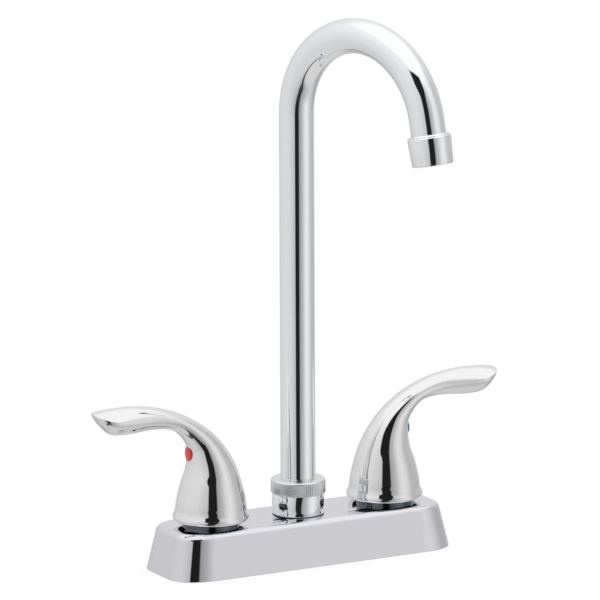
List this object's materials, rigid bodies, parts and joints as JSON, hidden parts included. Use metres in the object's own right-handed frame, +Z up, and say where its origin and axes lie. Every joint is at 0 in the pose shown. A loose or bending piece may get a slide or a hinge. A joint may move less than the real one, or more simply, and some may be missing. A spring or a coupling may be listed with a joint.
{
  "type": "gooseneck bar faucet",
  "caption": "Chromed deck-mounted bar faucet: tapered base, high gooseneck spout that swivels in a knurled nut, and swept lever handles with coloured index buttons.",
  "frame": {"origin": "centre of the base cover's underside on the deck, on the spout's turning axis", "axes": "+X from the hot valve to the cold valve along the base, -Y towards the user, +Z up out of the deck"},
  "size_m": [0.2312, 0.1246, 0.3372],
  "materials": {
    "chrome_plate": "polished",
    "brass": "machined",
    "copper": "drawn",
    "black_rubber": "moulded",
    "ceramic": "lapped",
    "steel": "blackened",
    "acetal": "moulded",
    "red_plastic": "moulded",
    "blue_plastic": "moulded"
  },
  "bodies": {
    "base": {"base_cover": "chrome_plate", "deck_gasket": "black_rubber", "hot_valve_body": "brass", "cold_valve_body": "brass", "hot_cross_tube": "copper", "cold_cross_tube": "copper", "spout_post": "brass", "hot_cartridge": "brass", "cold_cartridge": "brass", "hot_cartridge_ring": "black_rubber", "cold_cartridge_ring": "black_rubber", "hot_seat_seal": "black_rubber", "cold_seat_seal": "black_rubber", "hot_fixed_disc": "ceramic", "cold_fixed_disc": "ceramic", "hot_bonnet": "chrome_plate", "cold_bonnet": "chrome_plate", "hot_washer": "black_rubber", "cold_washer": "black_rubber", "hot_mounting_nut": "brass", "cold_mounting_nut": "brass", "spout_hub": "chrome_plate", "spout_nut": "chrome_plate", "swivel_ring": "acetal"},
    "hot_lever": {"hot_handle": "chrome_plate", "hot_stem": "brass", "hot_stem_rings": "black_rubber", "hot_moving_disc": "ceramic", "hot_set_screw": "steel", "hot_index": "red_plastic"},
    "cold_lever": {"cold_handle": "chrome_plate", "cold_stem": "brass", "cold_stem_rings": "black_rubber", "cold_moving_disc": "ceramic", "cold_set_screw": "steel", "cold_index": "blue_plastic"},
    "spout": {"spout_spigot": "brass", "spout_rings": "black_rubber", "gooseneck_tube": "chrome_plate", "outlet_adapter": "chrome_plate", "aerator_washer": "black_rubber", "aerator_insert": "acetal", "aerator_housing": "chrome_plate"}
  },
  "joints": [
    {"name": "spout_swivel", "type": "hinge", "parent": "base", "child": "spout", "pos_m": [0, 0, 0.03], "axis": [0, 0, 1], "continuous": true},
    {"name": "hot_turn", "type": "hinge", "parent": "base", "child": "hot_lever", "pos_m": [-0.0508, 0, 0.03], "axis": [0, 0, 1], "range_deg": [0, 90]},
    {"name": "cold_turn", "type": "hinge", "parent": "base", "child": "cold_lever", "pos_m": [0.0508, 0, 0.03], "axis": [0, 0, 1], "range_deg": [-90, 0]}
  ]
}
